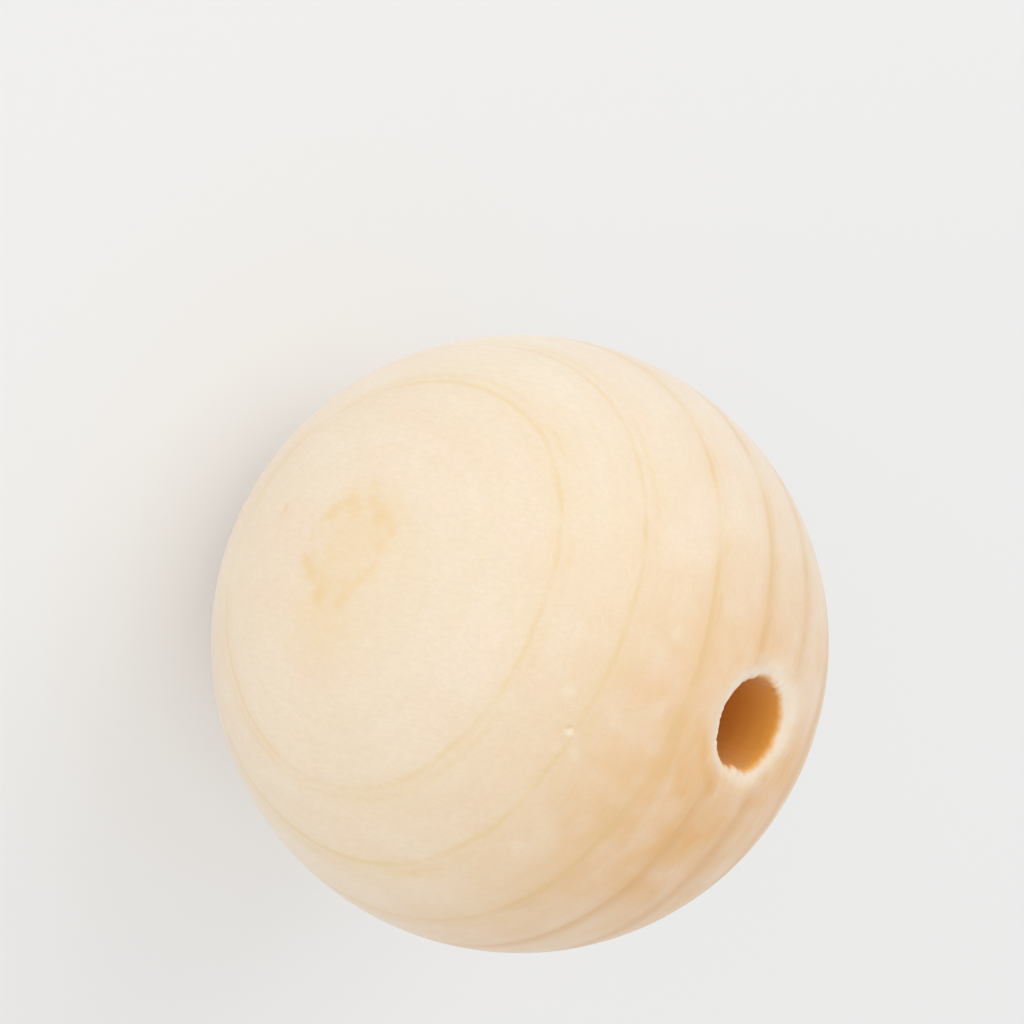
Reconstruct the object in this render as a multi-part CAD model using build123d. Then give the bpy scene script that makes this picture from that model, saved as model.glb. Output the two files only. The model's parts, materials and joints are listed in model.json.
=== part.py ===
from build123d import *
import math
import os

# A bare wooden ball, turned from one piece of timber and drilled right through along the grain.
# Millimetres. Z is the hole's axis. X points outwards from the heart of the tree, across the year
# rings, and Y runs along them. The ball stands on its lower mouth, whose rim lies in the plane Z = 0.

ball_diameter = 40.0

# The hole takes a cord, a dowel or a rod.
hole_diameter = 6.0

# Both mouths are opened out with a blunt countersink, which leaves a shallow bevel round the hole.
bevel_width = 1.2
countersink_angle = 150.0

ball_radius = ball_diameter / 2
hole_radius = hole_diameter / 2
mouth_radius = hole_radius + bevel_width

# How far the rim of either mouth lies from the middle of the ball.
mouth_height = math.sqrt(ball_radius**2 - mouth_radius**2)
middle = Pos(0, 0, mouth_height)

# The drill is twice as long as the ball, so that it comes out clear on both sides.
ball = middle * Sphere(ball_radius)
ball -= middle * Cylinder(hole_radius, 2 * ball_diameter)

# The countersink is a cone that stands on its tip. It is as wide as the mouth where it meets the
# ball, and goes on widening above it.
slope = math.tan(math.radians(countersink_angle / 2))
tip_height = 2 * mouth_height - mouth_radius / slope
tip_down = (Align.CENTER, Align.CENTER, Align.MIN)
countersink = Pos(0, 0, tip_height) * Cone(0, ball_radius, ball_radius / slope, align=tip_down)
ball -= countersink
ball -= mirror(countersink, about=Plane.XY.offset(mouth_height))

os.makedirs("parts", exist_ok=True)
export_step(ball, "parts/ball.step")
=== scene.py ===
import json
import math

import bmesh
import bpy
from mathutils import Matrix, Vector, noise


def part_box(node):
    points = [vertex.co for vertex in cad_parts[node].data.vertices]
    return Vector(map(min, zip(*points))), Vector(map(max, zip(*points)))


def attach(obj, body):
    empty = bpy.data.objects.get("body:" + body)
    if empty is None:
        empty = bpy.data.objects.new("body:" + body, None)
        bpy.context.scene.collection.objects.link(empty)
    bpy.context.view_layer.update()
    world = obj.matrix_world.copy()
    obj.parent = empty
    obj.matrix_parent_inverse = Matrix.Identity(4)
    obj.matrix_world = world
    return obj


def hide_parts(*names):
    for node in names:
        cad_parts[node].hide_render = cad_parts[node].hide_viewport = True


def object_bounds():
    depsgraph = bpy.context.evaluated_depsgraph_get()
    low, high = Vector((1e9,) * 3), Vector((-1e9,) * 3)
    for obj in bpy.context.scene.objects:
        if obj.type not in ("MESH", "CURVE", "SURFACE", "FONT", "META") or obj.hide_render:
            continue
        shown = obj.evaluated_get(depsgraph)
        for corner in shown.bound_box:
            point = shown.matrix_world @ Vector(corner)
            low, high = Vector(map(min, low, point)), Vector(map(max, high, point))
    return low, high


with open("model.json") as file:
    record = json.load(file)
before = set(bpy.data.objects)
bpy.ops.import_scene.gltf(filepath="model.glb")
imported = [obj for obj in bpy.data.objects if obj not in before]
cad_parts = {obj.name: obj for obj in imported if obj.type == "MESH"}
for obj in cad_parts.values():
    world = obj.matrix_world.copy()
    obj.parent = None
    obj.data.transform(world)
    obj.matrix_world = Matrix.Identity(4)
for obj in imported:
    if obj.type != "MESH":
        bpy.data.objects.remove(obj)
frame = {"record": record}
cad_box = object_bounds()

# Camera
# It looks down at the ball from the bark side, through a long lens. The ball stands on its lower
# mouth here, and lay on its side in the photograph, so the camera is rolled until the hole points
# to the right and a little down.

MM = 0.001
lowest, highest = cad_box
ball_middle = (lowest + highest) / 2

azimuth = math.radians(97.1)
elevation = math.radians(38.9)
roll = math.radians(108.2)
camera_distance = 280 * MM
focal_length = 152
ball_right_of_centre = 0.5 * MM
ball_below_centre = 8.5 * MM
nearest_seen = 10 * MM
farthest_seen = 20000 * MM

level = Vector((math.cos(azimuth), math.sin(azimuth), 0))
backward = Vector((
    math.sin(azimuth) * math.cos(elevation),
    -math.cos(azimuth) * math.cos(elevation),
    math.sin(elevation),
))
camera_right = Matrix.Rotation(roll, 3, backward) @ level
camera_up = backward.cross(camera_right)


def facing(right, up, back, place):
    """A lamp or camera at a place, with its own right, up and back in the directions given."""
    turned = Matrix((right, up, back)).transposed().to_4x4()
    return Matrix.Translation(place) @ turned


camera = bpy.data.objects.new("camera", bpy.data.cameras.new("camera"))
bpy.context.scene.collection.objects.link(camera)
bpy.context.scene.camera = camera
camera.data.lens = focal_length
camera.data.clip_start = nearest_seen
camera.data.clip_end = farthest_seen
camera_place = ball_middle + backward * camera_distance
camera_place += camera_up * ball_below_centre - camera_right * ball_right_of_centre
camera.matrix_world = facing(camera_right, camera_up, backward, camera_place)

# Table and light
# A plain pale table in a white studio tent, which lights the ball evenly from all round. One large
# softbox behind the camera, a little to its left, and one high on its right give the ball its soft
# light and shade.

tent_strength = 0.725
backdrop_strength = 0.95
table_colour = (0.88, 0.88, 0.875, 1)
table_whitening = 0.35
table_reach = 4000 * MM
table_gloss = {"Roughness": 0.7, "Specular IOR Level": 0.2}
softbox_width = 400 * MM
softbox_distance = 420 * MM

# Where each softbox stands, to the camera's right, up and back, and its share of the light.
softboxes = (((-0.4, 0.15, 0.9), 0.29), ((0.75, 0.55, 0.36), 0.25))


class Wire:
    """One socket of a shader. Arithmetic on it adds Math nodes, and node adds any other kind."""

    tree = None

    def __init__(self, socket):
        self.socket = socket

    @classmethod
    def node(cls, kind, settings, inputs, output=0):
        made = cls.tree.nodes.new(kind)
        stops = settings.pop("stops", ())
        for name, value in settings.items():
            setattr(made, name, value)
        for number, (place, grey) in enumerate(stops):
            ramp = made.color_ramp.elements
            element = ramp[number] if number < 2 else ramp.new(place)
            element.position = place
            element.color = (grey, grey, grey, 1)
        for name, value in inputs.items():
            if isinstance(value, Wire):
                cls.tree.links.new(value.socket, made.inputs[name])
            else:
                made.inputs[name].default_value = value
        return cls(made.outputs[output]) if made.outputs else None

    def math(self, operation, *others):
        inputs = dict(enumerate((self, *others)))
        return Wire.node("ShaderNodeMath", {"operation": operation}, inputs)

    def vector(self, operation, other=(0, 0, 0), output=0):
        inputs = {0: self, 1: other}
        return Wire.node("ShaderNodeVectorMath", {"operation": operation}, inputs, output)

    def __add__(self, other):
        return self.math("ADD", other)

    __radd__ = __add__

    def __mul__(self, other):
        return self.math("MULTIPLY", other)

    __rmul__ = __mul__

    def __sub__(self, other):
        return self.math("SUBTRACT", other)

    def __rsub__(self, other):
        return self * -1 + other

    def __truediv__(self, other):
        return self.math("DIVIDE", other)

    def __pow__(self, other):
        return self.math("POWER", other)

    def __abs__(self):
        return self.math("ABSOLUTE")

    def within(self, start, end):
        """Nought before start and one past end, with a soft change between. Start may be the larger."""
        settings = {"interpolation_type": "SMOOTHSTEP"}
        return Wire.node("ShaderNodeMapRange", settings, {0: self, 1: start, 2: end})

    def ramp(self, stops, interpolation="LINEAR"):
        made = Wire.node("ShaderNodeValToRGB", {"stops": stops}, {0: self})
        made.socket.node.color_ramp.interpolation = interpolation
        return made


def clear_shader(owner):
    """Empties the shader of a material or world, and makes it the one that Wire adds to."""
    owner.use_nodes = True
    owner.node_tree.nodes.clear()
    Wire.tree = owner.node_tree


def seen_by_camera():
    """One for what the camera sees straight, mirrored or through glass, and nought for the rest."""
    rays = ("Is Camera Ray", "Is Glossy Ray", "Is Transmission Ray")
    straight, mirrored, through = (Wire.node("ShaderNodeLightPath", {}, {}, ray) for ray in rays)
    return straight.math("MAXIMUM", mirrored).math("MAXIMUM", through)


tent = bpy.data.worlds.new("tent")
bpy.context.scene.world = tent
clear_shader(tent)
strength = tent_strength + seen_by_camera() * (backdrop_strength - tent_strength)
white = (1, 1, 1, 1)
glow = Wire.node("ShaderNodeBackground", {}, {"Color": white, "Strength": strength})
Wire.node("ShaderNodeOutputWorld", {}, {"Surface": glow})

for (right, up, back), share in softboxes:
    lamp = bpy.data.lights.new("softbox", "AREA")
    lamp.size = softbox_width
    lamp.energy = share * math.pi**2 * softbox_distance**2
    softbox = bpy.data.objects.new("softbox", lamp)
    bpy.context.scene.collection.objects.link(softbox)
    outwards = (camera_right * right + camera_up * up + backward * back).normalized()
    level_side = camera_up.cross(outwards).normalized()
    softbox_place = ball_middle + outwards * softbox_distance
    softbox.matrix_world = facing(level_side, outwards.cross(level_side), outwards, softbox_place)

table_mesh = bpy.data.meshes.new("table")
corners = [(x * table_reach, y * table_reach, 0) for x, y in ((-1, -1), (1, -1), (1, 1), (-1, 1))]
table_mesh.from_pydata(corners, [], [(0, 1, 2, 3)])
table = bpy.data.objects.new("table", table_mesh)
bpy.context.scene.collection.objects.link(table)
table_finish = bpy.data.materials.new("table")
clear_shader(table_finish)
surface = Wire.node("ShaderNodeBsdfPrincipled", {}, {"Base Color": table_colour, **table_gloss})
glow = Wire.node("ShaderNodeEmission", {}, {"Color": white, "Strength": backdrop_strength})
whiter = seen_by_camera() * table_whitening
surface = Wire.node("ShaderNodeMixShader", {}, {0: whiter, 1: surface, 2: glow})
Wire.node("ShaderNodeOutputMaterial", {}, {"Surface": surface})
table_mesh.materials.append(table_finish)

# Ball
# One piece of pale timber, turned on a lathe, drilled right through along the grain, countersunk at
# both mouths and sanded bare. It is made here as the lathe made it: one outline, from the middle
# of the ball's side over the mouth and down the hole to its middle, and the same upside down for the
# lower half, turned about the hole's axis.

ball_low, ball_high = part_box("ball")
bore = next(mount for mount in frame["record"]["mounts"] if mount["name"] == "bore")
hole_radius = bore["dims"]["r_mm"]
mouth_height = (ball_high.z - ball_low.z) / MM / 2
hole_end_height = bore["dims"]["length_mm"] / 2
sanded_off = 0.03
ball_radius = min(-ball_low.x, -ball_low.y, ball_high.x, ball_high.y) / MM - sanded_off
mouth_radius = math.sqrt(ball_radius**2 - mouth_height**2)

columns = 288
turn = 2 * math.pi / columns
rim_easing = 0.55
throat_easing = 0.4
corner_rows = 9
bevel_rows = 4
bore_first_step = 0.12
bore_step_growth = 1.06


def bend(before, corner, after, steps):
    """A rounded corner: it leaves the line before the corner and joins the one after it."""
    shares = [step / steps for step in range(steps + 1)]
    return [before * (1 - s) ** 2 + corner * 2 * s * (1 - s) + after * s**2 for s in shares]


# Each point is the distance from the hole's axis and the height over the ball's middle. The rows
# come closer together towards the mouth, in step with the columns, so that the faces stay square.
outline = []
row = 0
while True:
    latitude = math.atan(math.sinh(row * turn))
    point = Vector((math.cos(latitude), math.sin(latitude))) * ball_radius
    if point.x < mouth_radius + rim_easing:
        break
    outline.append(point)
    row += 1

rim = Vector((mouth_radius, mouth_height))
throat = Vector((hole_radius, hole_end_height))
down_bevel = (throat - rim).normalized()
along_ball = Vector((rim.y, -rim.x)).normalized()
outline += bend(rim + along_ball * rim_easing, rim, rim + down_bevel * rim_easing, corner_rows)
bevel_end = throat - down_bevel * throat_easing
for row in range(1, bevel_rows):
    outline.append((rim + down_bevel * rim_easing).lerp(bevel_end, row / bevel_rows))
outline += bend(bevel_end, throat, throat - Vector((0, throat_easing)), corner_rows)

step = bore_first_step
while outline[-1].y > step:
    outline.append(outline[-1] - Vector((0, step)))
    step *= bore_step_growth

upside_down = [Vector((point.x, -point.y)) for point in reversed(outline[1:])]
outline += upside_down

turned_ball = bmesh.new()
rings_of_points = []
for point in outline:
    ring = []
    for column in range(columns):
        angle = column * turn
        turned = (point.x * math.cos(angle), point.x * math.sin(angle), point.y)
        ring.append(turned_ball.verts.new(turned))
    rings_of_points.append(ring)
for row, ring in enumerate(rings_of_points):
    next_ring = rings_of_points[(row + 1) % len(rings_of_points)]
    for column in range(columns):
        beside = (column + 1) % columns
        corners = (ring[column], ring[beside], next_ring[beside], next_ring[column])
        turned_ball.faces.new(corners)

# The hole runs a degree or two out of line with the grain. What belongs to the timber is placed as
# if it did not, and is then turned about the line of sight by this much.
timber_turn = Matrix.Rotation(math.radians(1.7), 3, backward)

# A small knock with a raised lip, where the sandpaper caught a fibre. Its faces are made finer.
knock = timber_turn @ Vector((11.85, 5.05, 15.3)).normalized() * ball_radius
knock_lip = timber_turn @ Vector((11.68, 5.27, 15.36)).normalized() * ball_radius
knock_radius = 0.2
knock_depth = 0.16
lip_radius = 0.26
lip_height = 0.015
fine_reach = 0.9
fine_cuts = 3
edges_near = [
    edge for edge in turned_ball.edges
    if all((vertex.co - knock).length < fine_reach for vertex in edge.verts)
]
made = bmesh.ops.subdivide_edges(turned_ball, edges=edges_near, cuts=fine_cuts, use_grid_fill=True)
for vertex in made["geom_inner"]:
    if isinstance(vertex, bmesh.types.BMVert):
        vertex.co = vertex.co.normalized() * ball_radius


def hill(place, top, radius):
    """One at the top of a soft round hill, and nought well away from it."""
    return math.exp(-(((place - top).length / radius) ** 2))


# The drill tore the fibres where it came out of the wood. A tear is given by its direction round the
# hole, its half width, both in degrees, and how far its fibres stand into the hole.
tears = ((91, 12, 0.3), (108, 6, 0.14), (250, 16, 0.14), (297, 9, 0.08), (20, 7, 0.06), (170, 8, 0.08))
tear_reach = 0.55
fray = 0.05
drill_mark = 0.02
drill_pitch = 1.1
mouth_surround = 1

# The sandpaper left the ball a little uneven, in low swells and smaller ripples.
unevenness = 0.012
swell_width = 5
ripple_width = 1.3


def worked(place):
    """How far the surface stands proud of the plain turned form there, in millimetres."""
    from_axis = math.hypot(place.x, place.y)
    height = abs(place.z)
    proud = unevenness * (noise.noise(place / swell_width) + 0.4 * noise.noise(place / ripple_width))
    if from_axis > mouth_radius + mouth_surround:
        proud -= knock_depth * hill(place, knock, knock_radius)
        proud += lip_height * hill(place, knock_lip, lip_radius)
        return proud
    angle = math.atan2(place.y, place.x)
    from_throat = math.hypot(from_axis - hole_radius, height - hole_end_height)
    near_throat = math.exp(-((from_throat / tear_reach) ** 2))
    along_rim = Vector((math.cos(angle) * 5, math.sin(angle) * 5, place.z / 2))
    fibres = noise.noise(along_rim * 1.7) + 0.6 * noise.noise(along_rim * 4.1)
    proud += near_throat * fray * fibres
    for direction, half_width, reach in tears:
        away = abs(math.degrees(angle) - direction) % 360
        away = min(away, 360 - away)
        torn = math.exp(-((away / half_width) ** 2)) * (0.75 + 0.6 * fibres)
        proud += near_throat * reach * max(0, torn)
    if height < hole_end_height:
        streak = noise.noise(Vector((place.x * 2.2, place.y * 2.2, place.z * 0.25)))
        thread = math.sin(2 * math.pi * place.z / drill_pitch + angle)
        proud += drill_mark * (1.6 * streak + 0.5 * thread)
    return proud


turned_ball.normal_update()
middle_mm = ball_middle / MM
for vertex in turned_ball.verts:
    vertex.co += vertex.normal * worked(vertex.co)
for vertex in turned_ball.verts:
    vertex.co = (vertex.co + middle_mm) * MM
for face in turned_ball.faces:
    face.smooth = True
ball_mesh = bpy.data.meshes.new("wooden_ball")
turned_ball.to_mesh(ball_mesh)
turned_ball.free()
ball = bpy.data.objects.new("wooden_ball", ball_mesh)
bpy.context.scene.collection.objects.link(ball)
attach(ball, "root")
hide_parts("ball")

# The timber itself, worked out at every point of the ball, so that the grain runs through it. Sizes
# are in millimetres from the ball's middle. The heart of the tree lies far outside the ball, and the
# trunk bends a little towards the lower mouth.
heart_distance = 59.0
grain = Vector((-0.073, 0.037, 1)).normalized()
trunk_bend = 0.005
bend_start = 5.0
slow_wander = 1.2
quick_wander = 0.22

# The widths of the year rings from the bark side inwards.
ring_widths = (3.5, 3.8, 3.6, 4.6, 4.5, 4.6, 5.9, 4.4, 4.1, 3.6, 3.3)
bark_side = 82.4
heart_side = bark_side - sum(ring_widths)
years = len(ring_widths)

# How dark each ring's last line is, and the late wood round that line, from the bark side inwards.
line_depths = (0.4, 0.0, 0.6, 0.85, 1.0, 0.8, 0.9, 0.9, 0.9, 0.8, 0.7)
band_depths = (0.2, 0.05, 0.35, 0.35, 0.45, 0.5, 0.7, 0.9, 0.8, 0.6, 0.6)

cream = (0.93, 0.785, 0.6, 1)
warm = (0.88, 0.49, 0.16, 1)
straw = (0.87, 0.65, 0.32, 1)
ochre = (0.9, 0.66, 0.35, 1)
rust = (0.8, 0.44, 0.155, 1)
rosy = (0.95, 0.74, 0.57, 1)
pale = (0.97, 0.88, 0.73, 1)
shade = (0.68, 0.55, 0.42, 1)
bored_wood = (0.88, 0.42, 0.062, 1)

wood = bpy.data.materials.new("bare_wood")
clear_shader(wood)
coordinates = Wire.node("ShaderNodeTexCoord", {}, {}, "Object")
in_ball = coordinates.vector("SUBTRACT", ball_middle).vector("MULTIPLY", (1 / MM,) * 3)
x, y, z = (in_ball.vector("DOT_PRODUCT", axis, output=1) for axis in timber_turn.col)
place = Wire.node("ShaderNodeCombineXYZ", {}, {0: x, 1: y, 2: z})


def mottle(stretch, detail=1.0, at=place):
    """A soft random pattern from nought to one. Stretch is how many of its spots lie in a millimetre."""
    spots = at.vector("MULTIPLY", stretch)
    return Wire.node("ShaderNodeTexNoise", {}, {"Vector": spots, "Scale": 1.0, "Detail": detail})


def mixed(share, first, second):
    """The first colour where the share is nought, and the second where it is one."""
    return Wire.node("ShaderNodeMix", {"data_type": "RGBA"}, {0: share, 6: first, 7: second}, 2)


# At the crown, on the bark side, the ball only just touches the outermost ring, and the rings there
# lean a little.
crown = Vector((ball_high.x / MM, 0, 0))
crown_reach = 9.0
from_crown = place.vector("DISTANCE", crown, output=1)
at_crown = from_crown.within(crown_reach, crown_reach / 3)

across = place.vector("SUBTRACT", (-heart_distance, 0, 0)).vector("CROSS_PRODUCT", grain)
from_heart = across.vector("LENGTH", output=1)
below = (z * -1 - bend_start).math("MAXIMUM", 0)
from_heart += below * below * trunk_bend
from_heart += (mottle((0.07, 0.07, 0.04)) - 0.5) * slow_wander
from_heart += (mottle((0.5, 0.5, 0.3)) - 0.5) * quick_wander
from_heart += at_crown * (z * -0.07 + y * 0.013)

boundaries = [bark_side - sum(ring_widths[:count]) for count in range(years, -1, -1)]
share_of_depth = (from_heart - heart_side) / (bark_side - heart_side)
stops = [((edge - heart_side) / (bark_side - heart_side), n / years) for n, edge in enumerate(boundaries)]
age = share_of_depth.ramp(stops) * years
of_year = age.math("FRACT")
after_line = 0.35


def of_its_ring(depths):
    """The value of the ring that a point is in. What follows a line still counts with its ring."""
    stops = [(number / years, depth) for number, depth in enumerate(reversed(depths))]
    return ((age - after_line) / years).ramp(stops, "CONSTANT")


# The wood is redder towards the heart, and most of all on one side and in the upper half. The late
# wood of each year turns from straw to rust in the same way.
upper_half = z.within(-8, 8)
redness = from_heart.within(78, 61) * (y.within(-13, 3) * 0.85 + 0.15 - y.within(8, 20) * 0.5)
redness *= upper_half * 0.92 + 0.08
late_redness = from_heart.within(71, 61) * (upper_half * 0.7 + 0.3) * (y.within(-14, 0) * 0.6 + 0.4)
late_colour = mixed(late_redness, straw, rust)

# Cream and warm wood, paler on the side away from the reddest, with broad rosy and pale mottles.
colour = mixed(redness, cream, warm)
colour = mixed(y.within(-10, -19) * 0.35, colour, pale)
colour = mixed(mottle((0.3, 0.3, 0.14)).within(0.4, 0.7) * 0.4, colour, rosy)
colour = mixed(mottle((0.21, 0.21, 0.12), 2.0).within(0.45, 0.7) * 0.25, colour, pale)

# Thin layers within the years, and paler patches, both drawn out along the rings.
of_tree = Wire.node("ShaderNodeCombineXYZ", {}, {0: from_heart, 1: y, 2: z})
layers = mottle((2.6, 0.14, 0.06), 3.0, of_tree)
colour = mixed((layers - 0.42) * (0.45 - late_redness * 0.27), colour, late_colour)
patches = mottle((0.9, 0.4, 0.4), 0.0, of_tree).within(0.45, 0.75)
patches += mottle((2.0, 0.9, 0.9), 0.0, of_tree).within(0.45, 0.8) * 0.7
colour = mixed(patches * (0.08 + redness * 0.06), colour, pale)

# The late wood of each year, and the fine line that ends it, with a fainter broken one beside it.
uneven = mottle((0.28, 0.28, 0.1), 2.0).within(0.35, 0.6) * 0.7 + 0.3
uneven = uneven.math("MAXIMUM", late_redness * 0.8)
line_start = 0.94 - late_redness * 0.2
last_line = of_year.within(line_start, 0.985).math("MAXIMUM", of_year.within(0.035, 0.0))
doubled = mottle((0.5, 0.5, 0.12), 2.0).within(0.45, 0.6) * 0.6
beside_line = (of_year.within(0.8, 0.86) - of_year.within(0.87, 0.93)) * doubled
late_band = of_year.within(0.55, 1.0) ** 1.5
late_band = late_band.math("MAXIMUM", of_year.within(after_line - 0.05, 0.0) ** 2)
line = last_line.math("MAXIMUM", beside_line) * of_its_ring(line_depths) * uneven
band = late_band * of_its_ring(band_depths) * uneven
colour = mixed(band * (0.55 + late_redness * 0.3), colour, late_colour)
colour = mixed(line * (0.8 - late_redness * 0.05), colour, late_colour)

# Single fibres, and the speckle of a sanded surface.
fibre = mottle((6, 6, 0.8), 2.0)
colour = mixed((fibre - 0.5) * 0.3 + 0.06, colour, late_colour)
speckle = mottle((3.5, 3.5, 2.0), 4.0).within(0.3, 0.7)
colour = mixed(speckle * 0.13, colour, shade)

ragged_edge = mottle((1.1, 1.1, 1.1), 2.0) - 0.5
widest_fray = 3


def spot(at, radius):
    """One in the middle of a ragged spot, and nought outside it."""
    distance = place.vector("DISTANCE", at, output=1)
    return (distance + ragged_edge * min(2.2 * radius, widest_fray)).within(radius, 0.0)


# At the crown the outermost ring shows as a broken loop, with soft stains along and round it. A
# stain is given by its middle, its radius and its depth, and so is a pale fleck.
loop_level = 78.76
loop_half_width = 0.09
rise = from_heart - loop_level + (mottle((0.9, 0.9, 0.9), 3.0) - 0.5) * 0.3
broken = mottle((0.7, 0.7, 0.7), 2.0).within(0.35, 0.58)
loop = abs(rise).within(loop_half_width, 0.0) * from_crown.within(6.0, 4.5) * broken
colour = mixed(loop * 0.5, colour, ochre)
stains = (
    ((19.79, -2.4, -1.65), 1.1, 0.5),
    ((19.73, -3.22, -0.49), 1.2, 0.6),
    ((19.6, -3.91, 0.59), 1.1, 0.35),
    ((19.7, -2.79, 2.06), 0.9, 0.6),
    ((19.75, -0.9, 3.1), 0.9, 0.25),
    ((19.85, 0.66, 2.38), 0.7, 0.4),
    ((19.83, 0.92, -2.44), 0.9, 0.6),
    ((19.87, 1.79, -1.36), 0.8, 0.6),
    ((19.85, 2.46, -0.1), 1.0, 0.6),
    ((19.81, 2.4, 1.37), 0.9, 0.5),
    ((19.98, 0.3, -0.9), 1.1, 0.25),
    ((19.75, -2.0, 0.8), 4.5, 0.4),
    ((19.8, 2.2, 0.2), 4.0, 0.35),
    ((19.4, 4.9, 0.7), 4.0, 0.25),
)
for at, radius, depth in stains:
    colour = mixed(spot(at, radius) * depth, colour, ochre)
brown_dot = (18.9, -2.06, -6.2)
dot_radius = 0.9
colour = mixed(spot(brown_dot, dot_radius) * 0.25, colour, rust)
pale_flecks = (
    ((11.68, 5.27, 15.36), 0.5, 0.8),
    ((12.93, 3.04, 14.95), 0.7, 0.35),
    ((10.62, 6.6, 15.61), 0.7, 0.35),
    ((9.04, 12.69, 12.54), 0.7, 0.3),
    ((8.57, -2.82, 17.85), 0.8, 0.3),
    ((-3.6, -2.6, 19.5), 5.0, 0.3),
)
for at, radius, depth in pale_flecks:
    colour = mixed(spot(at, radius) * depth, colour, pale)

# A pale fuzzy lip runs round each mouth and fades into the ball. Its paleness is partly torn
# fibres and partly a painted highlight on the rounded rim. The drilled wood in the hole is brown.
from_axis = in_ball.vector("MULTIPLY", (1, 1, 0)).vector("LENGTH", output=1)
height = abs(in_ball.vector("DOT_PRODUCT", (0, 0, 1), output=1))
ragged = (mottle((2.2, 2.2, 0.8), 2.0) - 0.5) * 0.5
frayed = ragged + (mottle((0.35, 0.35, 0.35)) - 0.5) * 1.6 + x * 0.07 + y * 0.045
# Painted highlight over pale torn fibres: the rim and the band round it are painted paler.
fuzz_and_rim_highlight = (from_axis + frayed).within(mouth_radius + 0.3, mouth_radius - 0.5)
fuzz_and_highlight_halo = (from_axis + frayed).within(mouth_radius + 1.3, mouth_radius)
colour = mixed(fuzz_and_rim_highlight * 0.45 + fuzz_and_highlight_halo * 0.25, colour, pale)
in_hole = (from_axis + ragged * 0.3).within(hole_radius + 0.4, hole_radius + 0.15)
in_hole *= (height + ragged).within(hole_end_height + 0.3, hole_end_height - 0.25)
colour = mixed(in_hole, colour, bored_wood)

# A matt sanded finish: the fibres stand a few hundredths of a millimetre proud, and catch the light.
fibre_height = 0.05 * MM
roughness = 0.58 + fibre * 0.12 + fuzz_and_rim_highlight * 0.15
relief = fibre * 0.6 + mottle((14, 14, 3), 2.0) * 0.4
bump = Wire.node("ShaderNodeBump", {}, {"Strength": 0.5, "Distance": fibre_height, "Height": relief})
finish = {"Specular IOR Level": 0.4, "Sheen Weight": 0.45, "Sheen Roughness": 0.5}
surface = Wire.node(
    "ShaderNodeBsdfPrincipled",
    {},
    {"Base Color": colour, "Roughness": roughness, "Normal": bump, **finish},
)
Wire.node("ShaderNodeOutputMaterial", {}, {"Surface": surface})
ball_mesh.materials.append(wood)

scene = bpy.context.scene
scene.view_settings.view_transform = "Standard"
